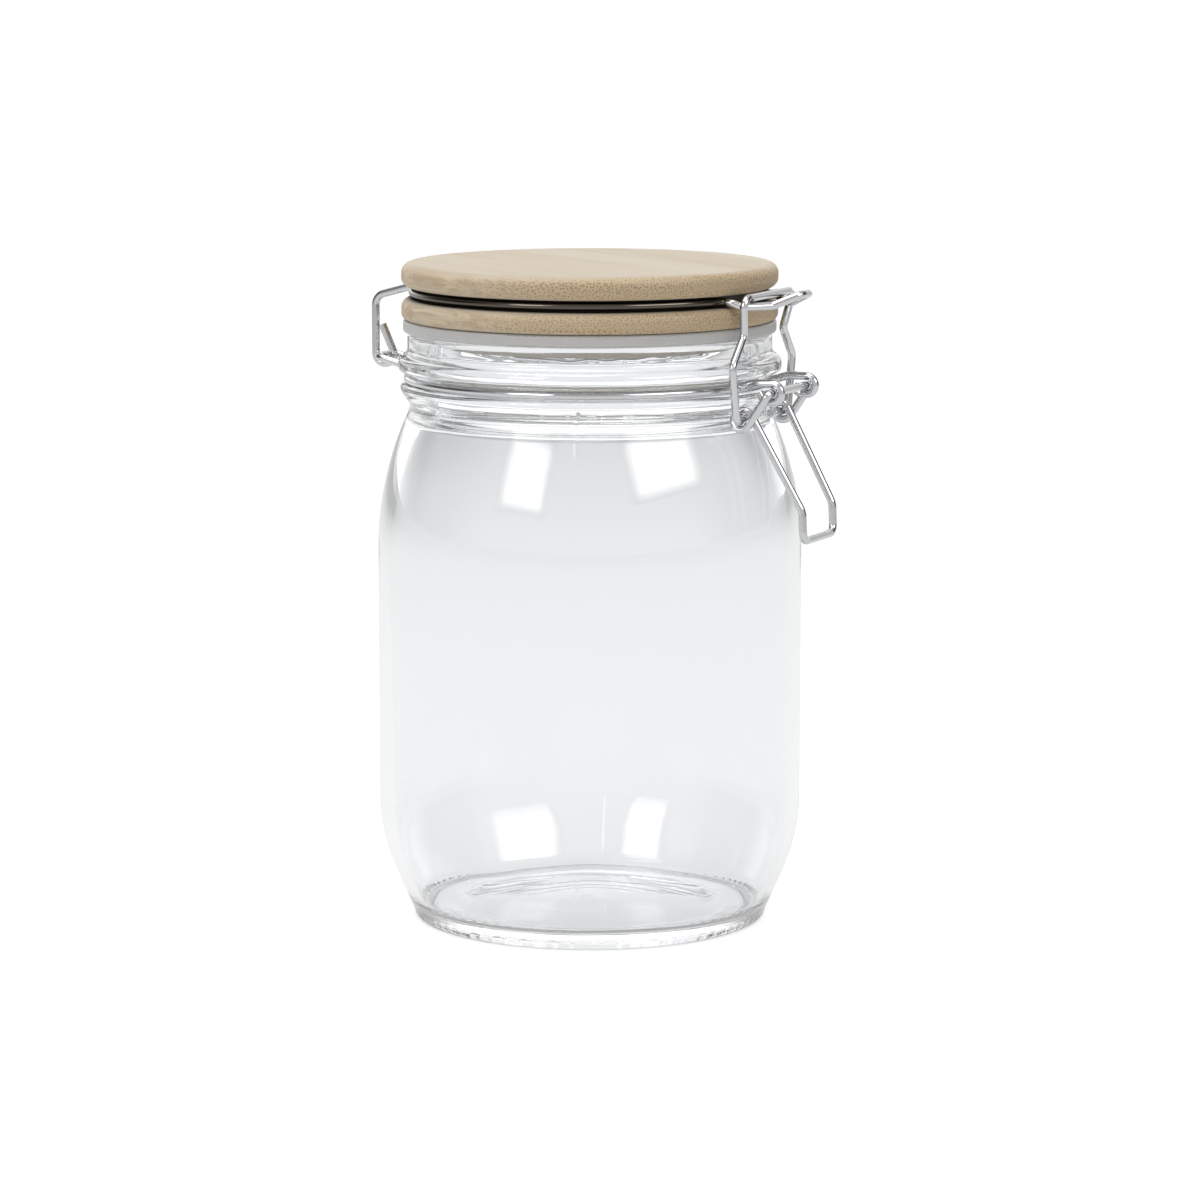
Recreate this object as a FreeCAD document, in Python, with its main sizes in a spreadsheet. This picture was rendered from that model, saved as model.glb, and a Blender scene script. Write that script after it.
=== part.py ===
import FreeCAD, Part
import math
import os

import Sketcher

# A one-litre clip-top preserving jar: a mould-blown glass jar, a turned bamboo lid with a silicone
# gasket, and a swing clasp bent from steel wire.
#
# Frame: millimetres, +Z up. The origin is on the jar's axis, on the plane that the jar stands on.
# The clasp is on the +X side, the lid's hinge on the -X side, and the XZ plane is the plane of
# symmetry of the clasp.

V = FreeCAD.Vector

doc = FreeCAD.newDocument("preserving_jar")

# --- driving dimensions ----------------------------------------------------------------------------

SIZES = [
    # glass body
    ("body_diameter", 105.0),
    ("jar_height", 146.2),  # standing plane to the rim that the gasket seats on
    ("wall", 3.3),
    ("shoulder_radius", 81.0),
    ("shoulder_drop", 20.1),  # rim down to where the shoulder meets the neck
    ("heel_radius", 45.0),
    ("heel_slope", 23.8),  # degrees from upright
    ("heel_inset", 8.5),  # body wall to the outer edge of the bearing ring
    ("heel_height", 1.6),
    ("bearing_width", 2.6),
    ("bearing_round", 2.0),
    ("bearing_setback", 1.1),  # outer edge of the bearing ring to where it touches the ground
    ("push_up_step", 1.3),
    ("push_up_shelf", 6.6),  # width of the flat shelf inside the bearing ring
    ("push_up_height", 3.6),
    ("floor_thickness", 4.4),
    ("floor_crown", 1.4),
    ("floor_round", 6.5),
    # glass neck and finish: the rest of the closure follows the mouth
    ("mouth_diameter", 81.2),
    ("rim_width", 4.4),
    ("rim_round", 0.9),
    ("rim_depth", 3.4),  # upright part of the rim
    ("upper_bead_reach", 2.2),  # rim to the outside of each bead
    ("lower_bead_reach", 1.7),
    ("neck_inset", 0.7),  # rim in to the neck under the beads
    ("neck_flare", 0.7),  # how much wider the neck is where the shoulder meets it
    ("neck_flare_radius", 8.0),
    ("neck_fillet", 3.0),
    ("neck_draft", 0.4),  # how much wider the mouth is below the neck, on the radius
    ("groove_drop", 11.3),  # rim down to the middle of the wire groove
    ("groove_cover", 1.4),  # how far the wire in the groove lies behind the upper bead
    ("neck_drop", 17.2),  # rim down to the narrowest part of the neck
    ("bead_taper", 0.7),  # on the radius, from the widest part of a bead to its edges
    ("upper_bead_lip", 0.7),
    ("upper_bead_height", 3.6),
    ("upper_bead_round", 2.4),
    ("rim_fillet", 2.2),
    ("lower_bead_lip", 0.4),
    ("lower_bead_height", 2.2),
    ("lower_bead_round", 1.4),
    # lid
    ("lid_overhang", 1.4),  # rim to the edge of the lid
    ("lid_lower_thickness", 5.2),
    ("lid_upper_thickness", 5.8),
    ("lid_groove_depth", 3.9),
    ("lid_groove_play", 0.4),  # above and below the wire
    ("lid_edge_round", 1.0),
    ("plug_depth", 6.2),
    ("plug_clearance", 2.0),  # on the radius, in the mouth of the jar
    ("plug_chamfer", 1.2),
    # gasket
    ("gasket_overhang", 1.0),  # rim to the edge of the gasket
    ("gasket_thickness", 3.0),
    ("gasket_round", 0.7),
    ("gasket_clearance", 0.25),  # on the radius, round the plug of the lid
    ("seat_gap", 0.1),  # rim to gasket
    # wire of the clasp
    ("wire_diameter", 2.0),
    ("wire_seat", 0.1),  # wire to the floor of the groove that it lies in
    ("pivot_clearance", 0.2),  # between two wires that turn on each other
    ("easy_bend", 3.0),  # radii of bends, to the middle of the wire
    ("tight_bend", 2.2),
    ("stub_bend", 1.4),
    ("leave_angle", 5.0),  # degrees round from where a straight end would leave a circle
    # neck ring
    ("eye_half_width", 10.3),  # plane of symmetry to each eye
    ("eye_reach", 6.6),  # upper bead to the axis of the eyes
    ("eye_lower", 0.6),  # groove down to the axis of the eyes
    ("eye_shoulder", 1.8),  # upper bead to where the wire turns level over the eye
    ("eye_end", 1.4),  # how far the cut end of each eye stands back
    ("hinge_half_width", 4.75),
    ("hinge_reach", 10.3),  # upper bead to the axis of the lid's hinge
    ("hinge_rise", 2.9),  # groove up to the axis of the lid's hinge
    # lever
    ("coil_reach", 0.3),  # axis of the coils beyond a wire that would lie on the neck
    ("coil_drop", 7.4),  # groove down to the axis of the coils
    ("grip_reach", 9.1),  # body wall to the grip
    ("grip_half_width", 9.2),
    ("grip_drop", 36.2),  # groove down to the grip
    ("grip_length", 7.2),  # upright part above the grip
    ("grip_lean", 0.3),
    ("grip_bend", 5.0),
    ("crank_gap", 0.7),  # eye to the crank beside it
    ("coil_gap", 0.3),  # between the turns of a coil
    # bail
    ("bail_gap", 0.7),  # lid to the bar of the bail
    ("bail_lean", 1.3),  # how far the upper knees stand in from the bar
    ("bail_half_width", 15.0),
    ("upper_knee_half_width", 11.6),
    ("lower_knee_half_width", 17.9),
    ("upper_knee_drop", 9.1),  # bar down to the upper knees
    ("lower_knee_drop", 16.2),  # bar down to the lower knees
    ("stub_half_gap", 4.7),  # plane of symmetry to the cut ends of the bail
    ("stub_gap", 0.4),  # crank to the leg of the bail
    # lid wire
    ("tongue_half_width", 13.2),
    ("tongue_tip_half_width", 2.7),
    ("tongue_drop", 1.2),  # groove of the lid down to the flat part of the tongue
    ("tongue_flat", 5.3),  # length of the flat part that the bail lies on
    ("tongue_taper", 6.1),  # how much the flat part closes in towards its outer end, each side
    ("tongue_reach", 11.3),  # edge of the lid to the tip
    ("tongue_rise", 2.7),
    ("root_gap", 0.15),  # root of the tongue to the lower disc of the lid
    ("hook_play", 0.35),  # of the hook round the loop at the back, besides the pivot clearance
    ("arm_drop", 3.4),  # groove of the lid down to where the hook's arm turns upright
    ("tail_height", 7.6),
    ("tail_lean", 0.6),
    ("tail_bend_rise", 0.8),
]

sizes = doc.addObject("Spreadsheet::Sheet", "Sizes")
for row, (alias, number) in enumerate(SIZES, start=1):
    sizes.set(f"A{row}", alias)
    sizes.set(f"B{row}", str(number))
    sizes.setAlias(f"B{row}", alias)
doc.recompute()


def size(formula):
    """The value of a formula in the sheet's aliases, such as "Sizes.wall / 2"."""
    found = sizes.evalExpression(formula)
    return float(getattr(found, "Value", found))


# --- sketches of revolved pieces -------------------------------------------------------------------


def centre_of_arc(start, end, radius, side):
    """The centre of the arc from start to end that bulges to the given side of its chord."""
    middle = (start + end) * 0.5
    chord = end - start
    height = math.sqrt(max(radius**2 - (chord.Length / 2) ** 2, 0.0))
    left = V(-chord.y, chord.x, 0).normalize()
    return middle - left * height if side == "left" else middle + left * height


def add_side(sketch, start, end, bulge):
    """Draws one side of an outline. Returns its number and which of its ends is start and end."""
    if bulge is None:
        return sketch.addGeometry(Part.LineSegment(start, end), False), 1, 2
    formula, side = bulge
    centre = centre_of_arc(start, end, size(formula), side)
    circle = Part.Circle(centre, V(0, 0, 1), size(formula))
    first, last = (end, start) if side == "left" else (start, end)
    arc = Part.ArcOfCircle(circle, circle.parameter(first), circle.parameter(last))
    number = sketch.addGeometry(arc, False)
    return (number, 2, 1) if side == "left" else (number, 1, 2)


def hold_corner(sketch, number, end, across, formula):
    """Binds one coordinate of a corner to its formula, or holds the corner on an axis."""
    if size(formula) == 0.0:
        axis = -2 if across else -1
        sketch.addConstraint(Sketcher.Constraint("PointOnObject", number, end, axis))
        return
    kind = "DistanceX" if across else "DistanceY"
    held = sketch.addConstraint(
        Sketcher.Constraint(kind, -1, 1, number, end, size(formula))
    )
    sketch.setExpression(f"Constraints[{held}]", formula)


def revolved(label, outline):
    """A body turned about the Z axis from a closed outline of (radius, height, bulge to the next)."""
    body = doc.addObject("PartDesign::Body", label)
    body.Label = label
    sketch = body.newObject("Sketcher::SketchObject", label + "_outline")
    plane = [f for f in body.Origin.OriginFeatures if f.Role == "XZ_Plane"][0]
    sketch.AttachmentSupport = (plane, [""])
    sketch.MapMode = "FlatFace"
    corners = [V(size(radius), size(height), 0) for radius, height, _ in outline]
    sides = []
    for n, (_, _, bulge) in enumerate(outline):
        sides.append(add_side(sketch, corners[n], corners[(n + 1) % len(corners)], bulge))
    for n, (radius, height, _) in enumerate(outline):
        number, start, _ = sides[n]
        before, _, end = sides[n - 1]
        sketch.addConstraint(Sketcher.Constraint("Coincident", before, end, number, start))
        hold_corner(sketch, number, start, True, radius)
        hold_corner(sketch, number, start, False, height)
        if outline[n][2] is not None:
            formula = outline[n][2][0]
            held = sketch.addConstraint(Sketcher.Constraint("Radius", number, size(formula)))
            sketch.setExpression(f"Constraints[{held}]", formula)
    turned = body.newObject("PartDesign::Revolution", label + "_revolution")
    turned.Profile = sketch
    turned.ReferenceAxis = (sketch, ["V_Axis"])
    turned.Angle = 360.0
    sketch.Visibility = False
    body.Tip = turned
    return body


# --- glass jar -------------------------------------------------------------------------------------

BODY_R = "Sizes.body_diameter / 2"
BEARING_R = "(Sizes.body_diameter / 2 - Sizes.heel_inset)"
MOUTH_R = "Sizes.mouth_diameter / 2"
RIM_R = f"({MOUTH_R} + Sizes.rim_width)"
UPPER_BEAD_R = f"({RIM_R} + Sizes.upper_bead_reach)"
LOWER_BEAD_R = f"({RIM_R} + Sizes.lower_bead_reach)"
NECK_R = f"({RIM_R} - Sizes.neck_inset)"
GROOVE_Z = "(Sizes.jar_height - Sizes.groove_drop)"
NECK_Z = "(Sizes.jar_height - Sizes.neck_drop)"
WIRE_R = "Sizes.wire_diameter / 2"
GROOVE_FLOOR_R = f"({UPPER_BEAD_R} - Sizes.groove_cover - Sizes.wire_diameter)"
GROOVE_TOP_Z = f"({GROOVE_Z} + {WIRE_R} + Sizes.wire_seat)"
GROOVE_BOTTOM_Z = f"({GROOVE_Z} - {WIRE_R} - Sizes.wire_seat)"
UPPER_LIP_Z = f"({GROOVE_TOP_Z} + Sizes.upper_bead_lip)"
UPPER_BEAD_Z = f"({UPPER_LIP_Z} + Sizes.upper_bead_height)"
LOWER_LIP_Z = f"({GROOVE_BOTTOM_Z} - Sizes.lower_bead_lip)"
LOWER_BEAD_Z = f"({LOWER_LIP_Z} - Sizes.lower_bead_height)"

# the shoulder is an arc that leaves the body upright, and the heel is a cone and an arc
SHOULDER_TOP_R = f"({NECK_R} + Sizes.neck_flare)"
SHOULDER_TOP_Z = "(Sizes.jar_height - Sizes.shoulder_drop)"
SHOULDER_SWING = f"({BODY_R} - {SHOULDER_TOP_R})"
SHOULDER_Z = (
    f"({SHOULDER_TOP_Z} - sqrt(pow(Sizes.shoulder_radius; 2)"
    f" - pow(Sizes.shoulder_radius - {SHOULDER_SWING}; 2)))"
)
HEEL_ANGLE = "Sizes.heel_slope * 1 deg"
HEEL_TOP_R = f"({BODY_R} - Sizes.heel_radius * (1 - cos({HEEL_ANGLE})))"
HEEL_TOP_Z = f"(Sizes.heel_height + ({HEEL_TOP_R} - {BEARING_R}) / tan({HEEL_ANGLE}))"
HEEL_END_Z = f"({HEEL_TOP_Z} + Sizes.heel_radius * sin({HEEL_ANGLE}))"

# inside, the walls follow the outside at the thickness of the glass
INNER_R = f"({BODY_R} - Sizes.wall)"
INNER_SHOULDER_RADIUS = "(Sizes.shoulder_radius - Sizes.wall)"
INNER_NECK_R = f"({MOUTH_R} + Sizes.neck_draft)"
INNER_SHOULDER_TOP_Z = (
    f"({SHOULDER_Z} + sqrt(pow({INNER_SHOULDER_RADIUS}; 2)"
    f" - pow({INNER_SHOULDER_RADIUS} - ({INNER_R} - {INNER_NECK_R}); 2)))"
)
INNER_HEEL_RADIUS = "(Sizes.heel_radius - Sizes.wall)"
FLOOR_Z = "(Sizes.push_up_step + Sizes.floor_thickness)"
INNER_HEEL_TOP_R = f"({INNER_R} - {INNER_HEEL_RADIUS} * (1 - cos({HEEL_ANGLE})))"
INNER_CORNER_Z = f"({FLOOR_Z} + Sizes.floor_round * (1 - sin({HEEL_ANGLE})))"
INNER_CORNER_R = (
    f"({INNER_HEEL_TOP_R} - ({HEEL_TOP_Z} - {INNER_CORNER_Z}) * tan({HEEL_ANGLE}))"
)
FLOOR_EDGE_R = f"({INNER_CORNER_R} - Sizes.floor_round * cos({HEEL_ANGLE}))"

# under the base, a bearing ring, a flat shelf and a dome
SHELF_OUTER_R = f"({BEARING_R} - Sizes.bearing_width - Sizes.bearing_round)"
SHELF_INNER_R = f"({SHELF_OUTER_R} - Sizes.push_up_shelf)"
DOME_RISE = "(Sizes.push_up_height - Sizes.push_up_step)"
DOME_RADIUS = f"((pow({SHELF_INNER_R}; 2) + pow({DOME_RISE}; 2)) / (2 * {DOME_RISE}))"
CROWN_RADIUS = (
    f"((pow({FLOOR_EDGE_R}; 2) + pow(Sizes.floor_crown; 2)) / (2 * Sizes.floor_crown))"
)


def glass_jar():
    outline = [
        ("0", "Sizes.push_up_height", (DOME_RADIUS, "left")),
        (SHELF_INNER_R, "Sizes.push_up_step", None),
        (SHELF_OUTER_R, "Sizes.push_up_step", None),
        (f"{BEARING_R} - Sizes.bearing_setback - Sizes.bearing_width", "0", None),
        (f"{BEARING_R} - Sizes.bearing_setback", "0", ("Sizes.bearing_round", "right")),
        (BEARING_R, "Sizes.heel_height", None),
        (HEEL_TOP_R, HEEL_TOP_Z, ("Sizes.heel_radius", "right")),
        (BODY_R, HEEL_END_Z, None),
        (BODY_R, SHOULDER_Z, ("Sizes.shoulder_radius", "right")),
        (SHOULDER_TOP_R, SHOULDER_TOP_Z, ("Sizes.neck_flare_radius", "left")),
        (NECK_R, NECK_Z, ("Sizes.neck_fillet", "left")),
        (f"{LOWER_BEAD_R} - Sizes.bead_taper", LOWER_BEAD_Z, ("Sizes.lower_bead_round", "right")),
        (f"{LOWER_BEAD_R} - Sizes.bead_taper / 2", LOWER_LIP_Z, None),
        (GROOVE_FLOOR_R, GROOVE_BOTTOM_Z, None),
        (GROOVE_FLOOR_R, GROOVE_TOP_Z, None),
        (f"{UPPER_BEAD_R} - Sizes.bead_taper", UPPER_LIP_Z, ("Sizes.upper_bead_round", "right")),
        (f"{UPPER_BEAD_R} - Sizes.bead_taper", UPPER_BEAD_Z, ("Sizes.rim_fillet", "left")),
        (RIM_R, "Sizes.jar_height - Sizes.rim_depth", None),
        (RIM_R, "Sizes.jar_height - Sizes.rim_round", ("Sizes.rim_round", "right")),
        (f"{RIM_R} - Sizes.rim_round", "Sizes.jar_height", None),
        (f"{MOUTH_R} + Sizes.rim_round", "Sizes.jar_height", ("Sizes.rim_round", "right")),
        (MOUTH_R, "Sizes.jar_height - Sizes.rim_round", None),
        (MOUTH_R, NECK_Z, None),
        (INNER_NECK_R, INNER_SHOULDER_TOP_Z, (INNER_SHOULDER_RADIUS, "left")),
        (INNER_R, SHOULDER_Z, None),
        (INNER_R, HEEL_END_Z, (INNER_HEEL_RADIUS, "left")),
        (INNER_HEEL_TOP_R, HEEL_TOP_Z, None),
        (INNER_CORNER_R, INNER_CORNER_Z, ("Sizes.floor_round", "left")),
        (FLOOR_EDGE_R, FLOOR_Z, (CROWN_RADIUS, "right")),
        ("0", f"{FLOOR_Z} + Sizes.floor_crown", None),
    ]
    return revolved("glass_jar", outline)


# --- lid and gasket --------------------------------------------------------------------------------

LID_R = f"({RIM_R} + Sizes.lid_overhang)"
PLUG_R = f"({MOUTH_R} - Sizes.plug_clearance)"
LID_GROOVE_R = f"({LID_R} - Sizes.lid_groove_depth)"
LID_GROOVE_HEIGHT = "(Sizes.wire_diameter + 2 * Sizes.lid_groove_play)"
LID_UPPER_Z = f"(Sizes.lid_lower_thickness + {LID_GROOVE_HEIGHT})"
LID_TOP_Z = f"({LID_UPPER_Z} + Sizes.lid_upper_thickness)"
LID_SEAT_Z = "(Sizes.jar_height + Sizes.seat_gap + Sizes.gasket_thickness + Sizes.seat_gap)"


def bamboo_lid():
    """One turned piece, drawn from the underside of its lower disc, with the plug below that."""
    edge = "Sizes.lid_edge_round"
    outline = [
        ("0", "-Sizes.plug_depth", None),
        (f"{PLUG_R} - Sizes.plug_chamfer", "-Sizes.plug_depth", None),
        (PLUG_R, "-Sizes.plug_depth + Sizes.plug_chamfer", None),
        (PLUG_R, "0", None),
        (f"{LID_R} - {edge}", "0", (edge, "right")),
        (LID_R, edge, None),
        (LID_R, f"Sizes.lid_lower_thickness - {edge}", (edge, "right")),
        (f"{LID_R} - {edge}", "Sizes.lid_lower_thickness", None),
        (LID_GROOVE_R, "Sizes.lid_lower_thickness", None),
        (LID_GROOVE_R, LID_UPPER_Z, None),
        (f"{LID_R} - {edge}", LID_UPPER_Z, (edge, "right")),
        (LID_R, f"{LID_UPPER_Z} + {edge}", None),
        (LID_R, f"{LID_TOP_Z} - {edge}", (edge, "right")),
        (f"{LID_R} - {edge}", LID_TOP_Z, None),
        ("0", LID_TOP_Z, None),
    ]
    body = revolved("bamboo_lid", outline)
    body.setExpression(".Placement.Base.z", LID_SEAT_Z)
    return body


def gasket():
    """A flat silicone ring that lies between the rim and the lid, round the plug."""
    inner = f"({PLUG_R} + Sizes.gasket_clearance)"
    outer = f"({RIM_R} + Sizes.gasket_overhang)"
    edge = "Sizes.gasket_round"
    top = "Sizes.gasket_thickness"
    outline = [
        (inner, "0", None),
        (f"{outer} - {edge}", "0", (edge, "right")),
        (outer, edge, None),
        (outer, f"{top} - {edge}", (edge, "right")),
        (f"{outer} - {edge}", top, None),
        (inner, top, None),
    ]
    body = revolved("gasket", outline)
    body.setExpression(".Placement.Base.z", "Sizes.jar_height + Sizes.seat_gap")
    return body


# --- bent wire -------------------------------------------------------------------------------------

RING_STEPS = 8  # arcs in each half of a ring
COIL_STEPS = 6  # arcs in each coil of the lever
ALMOST = 0.96  # share of a full round that leaves a short straight run between two bends
HOOK_SIDE = 3.0  # degrees from the plane of symmetry to where the hook's arm meets the ring


def bent_path(corners, closed=False):
    """A wire of straight runs and tangent arcs through (point, bend radius) corners."""
    bends = []
    for n, (point, radius) in enumerate(corners):
        if radius == 0 or (not closed and n in (0, len(corners) - 1)):
            bends.append((point, None, point))
            continue
        back = (corners[n - 1][0] - point).normalize()
        on = (corners[(n + 1) % len(corners)][0] - point).normalize()
        half_turn = (math.pi - back.getAngle(on)) / 2
        cut = radius * math.tan(half_turn)
        inward = (back + on).normalize()
        middle = point + inward * (radius / math.cos(half_turn) - radius)
        bends.append((point + back * cut, middle, point + on * cut))
    edges = []
    for n, (start, middle, end) in enumerate(bends):
        if middle is not None:
            edges.append(Part.Arc(start, middle, end).toShape())
        if closed or n < len(bends) - 1:
            reached = bends[(n + 1) % len(bends)][0]
            if (reached - end).Length > 1e-6:
                edges.append(Part.LineSegment(end, reached).toShape())
    return Part.Wire(edges)


def round_wire(label, wire):
    """Steel wire swept along a path, at the diameter in the sheet."""
    path = doc.addObject("Part::Feature", label + "_path")
    path.Shape = wire
    path.Placement = FreeCAD.Placement()
    first = wire.Edges[0]
    section = doc.addObject("Part::Circle", label + "_section")
    section.setExpression("Radius", WIRE_R)
    start = first.valueAt(first.FirstParameter)
    heading = first.tangentAt(first.FirstParameter)
    section.Placement = FreeCAD.Placement(start, FreeCAD.Rotation(V(0, 0, 1), heading))
    swept = doc.addObject("Part::Sweep", label)
    swept.Label = label
    swept.Sections = [section]
    swept.Spine = (path, [f"Edge{n + 1}" for n in range(len(wire.Edges))])
    swept.Solid = True
    swept.Frenet = False
    return swept


def circle_corners(radius, height, start, end, steps):
    """Corners outside an arc about the Z axis, so that bends of its radius follow it. Degrees."""
    turn = (end - start) / steps
    out = radius / math.cos(math.radians(turn / 2))
    corners = []
    for n in range(steps):
        angle = math.radians(start + turn * (n + 0.5))
        corners.append((V(out * math.cos(angle), out * math.sin(angle), height), radius))
    return corners


def angle_at(half_width, radius):
    """How far round a circle about the Z axis a point lies, from the plane of symmetry. Degrees."""
    return math.degrees(math.asin(half_width / radius))


def on_tangent(radius, degrees, half_width, height):
    """The point at half_width on the line that touches a circle about the Z axis at an angle."""
    angle = math.radians(degrees)
    return V((radius - half_width * math.sin(angle)) / math.cos(angle), half_width, height)


def mirrored(corners):
    """The same corners on the other side of the plane of symmetry, in reverse order."""
    return [(V(p.x, -p.y, p.z), radius) for p, radius in reversed(corners)]


wire = size("Sizes.wire_diameter")
easy_bend = size("Sizes.easy_bend")
tight_bend = size("Sizes.tight_bend")
stub_bend = size("Sizes.stub_bend")
pivot_radius = wire + size("Sizes.pivot_clearance")
groove_z = size(GROOVE_Z)
upper_bead = size(UPPER_BEAD_R)
neck_ring_radius = size(GROOVE_FLOOR_R) + wire / 2 + size("Sizes.wire_seat")
eye = V(upper_bead + size("Sizes.eye_reach"), 0, groove_z - size("Sizes.eye_lower"))
hinge = V(-upper_bead - size("Sizes.hinge_reach"), 0, groove_z + size("Sizes.hinge_rise"))
coil = V(size(NECK_R) + wire + size("Sizes.coil_reach"), 0, groove_z - size("Sizes.coil_drop"))
eye_y = size("Sizes.eye_half_width")
crank_y = eye_y + wire + size("Sizes.crank_gap")
leg_y = crank_y - wire - size("Sizes.coil_gap")
bail_leg_y = crank_y + wire + size("Sizes.stub_gap")
lid_wire_z = size(LID_SEAT_Z) + size("Sizes.lid_lower_thickness") + size(LID_GROOVE_HEIGHT) / 2
lid_wire_radius = size(LID_GROOVE_R) + wire / 2 + size("Sizes.wire_seat")
lid_radius = size(LID_R)
tongue_z = lid_wire_z - size("Sizes.tongue_drop")
bail_bar_x = lid_radius + size("Sizes.bail_gap") + wire / 2


def neck_ring():
    """The ring in the groove of the neck. Its ends curl into two eyes for the lever, and at the
    back it stands out in a loop for the hinge of the lid."""
    top = eye.z + pivot_radius
    curl = [
        (V(upper_bead + size("Sizes.eye_shoulder"), eye_y, top), easy_bend),
        (V(eye.x + pivot_radius, eye_y, top), pivot_radius),
        (V(eye.x + pivot_radius, eye_y, eye.z - pivot_radius), pivot_radius),
        (V(eye.x - pivot_radius, eye_y, eye.z - pivot_radius), tight_bend * ALMOST),
        (V(eye.x - pivot_radius - size("Sizes.eye_end"), eye_y, eye.z), 0),
    ]
    hinge_y = size("Sizes.hinge_half_width")
    leave = size("Sizes.leave_angle")
    at_latch = angle_at(eye_y, neck_ring_radius) + leave
    at_hinge = 180 - angle_at(hinge_y, neck_ring_radius) - leave
    half = list(reversed(curl))
    half.append((on_tangent(neck_ring_radius, at_latch, eye_y, groove_z), easy_bend))
    half += circle_corners(neck_ring_radius, groove_z, at_latch, at_hinge, RING_STEPS)
    half.append((on_tangent(neck_ring_radius, at_hinge, hinge_y, groove_z), tight_bend))
    half.append((V(hinge.x, hinge_y, hinge.z), tight_bend))
    return round_wire("neck_ring", bent_path(half + mirrored(half)))


def lever():
    """A closed loop of wire: the axle in the eyes, a crank and a coil on each side, and the grip."""
    crank = eye - coil
    reach = math.atan2(crank.z, crank.x)
    lean = math.asin(pivot_radius / crank.Length)
    grip_x = size(BODY_R) + size("Sizes.grip_reach")
    grip_z = groove_z - size("Sizes.grip_drop")
    grip_y = size("Sizes.grip_half_width")
    bend = V(grip_x - size("Sizes.grip_lean"), 0, grip_z + size("Sizes.grip_length"))
    down = bend - coil
    heading_in = reach + math.pi + lean
    heading_out = math.atan2(down.z, down.x) - math.asin(pivot_radius / down.Length)
    turn = (heading_in - heading_out) / COIL_STEPS
    half = [(V(eye.x, crank_y, eye.z), stub_bend)]
    for n in range(COIL_STEPS):
        heading = heading_in - turn * (n + 0.5)
        out = pivot_radius / math.cos(turn / 2)
        across = crank_y + (leg_y - crank_y) * (n + 0.5) / COIL_STEPS
        corner = V(coil.x - out * math.sin(heading), across, coil.z + out * math.cos(heading))
        half.append((corner, pivot_radius * ALMOST))
    half.append((V(bend.x, grip_y, bend.z), size("Sizes.grip_bend")))
    half.append((V(grip_x, grip_y, grip_z), tight_bend))
    return round_wire("lever", bent_path(half + mirrored(half), closed=True))


def bail():
    """The closing loop. Its bar lies on the tongue, its legs are kinked to give it spring, and
    its ends turn inwards through the coils of the lever."""
    bar_z = tongue_z + wire + size("Sizes.pivot_clearance")
    knee_x = bail_bar_x - size("Sizes.bail_lean")
    upper_z = bar_z - size("Sizes.upper_knee_drop")
    lower_z = bar_z - size("Sizes.lower_knee_drop")
    half = [
        (V(coil.x, size("Sizes.stub_half_gap"), coil.z), 0),
        (V(coil.x, bail_leg_y, coil.z), stub_bend),
        (V(coil.x, size("Sizes.lower_knee_half_width"), lower_z), tight_bend),
        (V(knee_x, size("Sizes.upper_knee_half_width"), upper_z), tight_bend),
        (V(bail_bar_x, size("Sizes.bail_half_width"), bar_z), tight_bend),
    ]
    return round_wire("bail", bent_path(half + mirrored(half)))


def lid_wire():
    """The wire in the groove of the lid, in one piece: a hook round the back loop of the neck
    ring, once round the lid, and a tongue at the front that the bail holds down."""
    half_width = size("Sizes.tongue_half_width")
    leave = size("Sizes.leave_angle")
    at_hinge = 180 - HOOK_SIDE - leave
    at_tongue = angle_at(half_width, lid_wire_radius) + leave
    hook = pivot_radius + size("Sizes.hook_play")
    front_x = hinge.x + hook
    arm_x = hinge.x - hook
    hook_z = hinge.z - pivot_radius
    tail_top = V(hinge.x - size("Sizes.tail_lean"), 0, hinge.z + size("Sizes.tail_height"))
    path = [
        (tail_top, 0),
        (V(front_x, 0, hinge.z + size("Sizes.tail_bend_rise")), tight_bend),
        (V(front_x, 0, hook_z), hook * ALMOST),
        (V(arm_x, 0, hook_z), hook * ALMOST),
        (V(arm_x, 0, lid_wire_z - size("Sizes.arm_drop")), easy_bend),
        (V(-lid_radius - wire / 2, 0, lid_wire_z), easy_bend),
        (on_tangent(lid_wire_radius, at_hinge, 0, lid_wire_z), tight_bend),
    ]
    # the root of the tongue clears the lower disc before it drops beside it
    root_z = size(LID_SEAT_Z) + size("Sizes.lid_lower_thickness") + wire / 2 + size("Sizes.root_gap")
    root_x = lid_radius - wire
    flat_y = half_width - wire / 2
    flat_end = V(lid_radius + size("Sizes.tongue_flat"), flat_y - size("Sizes.tongue_taper"), tongue_z)
    tip_x = lid_radius + size("Sizes.tongue_reach")
    tip_y = size("Sizes.tongue_tip_half_width")
    tongue = [
        (on_tangent(lid_wire_radius, at_tongue, half_width, lid_wire_z), stub_bend),
        (V(root_x, half_width, root_z), stub_bend),
        (V(lid_radius, flat_y, tongue_z), stub_bend),
        (flat_end, easy_bend),
        (V(tip_x, tip_y, tongue_z + size("Sizes.tongue_rise")), tight_bend),
    ]
    path += circle_corners(lid_wire_radius, lid_wire_z, at_hinge, at_tongue, RING_STEPS)
    path += tongue + mirrored(tongue)
    path += circle_corners(lid_wire_radius, lid_wire_z, -at_tongue, -at_hinge, RING_STEPS)
    path.append((on_tangent(lid_wire_radius, -at_hinge, -2 * wire, lid_wire_z), 0))
    return round_wire("lid_wire", bent_path(path))


# --- the whole -------------------------------------------------------------------------------------

pieces = [glass_jar(), bamboo_lid(), gasket(), neck_ring(), lever(), bail(), lid_wire()]
doc.recompute()

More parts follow.
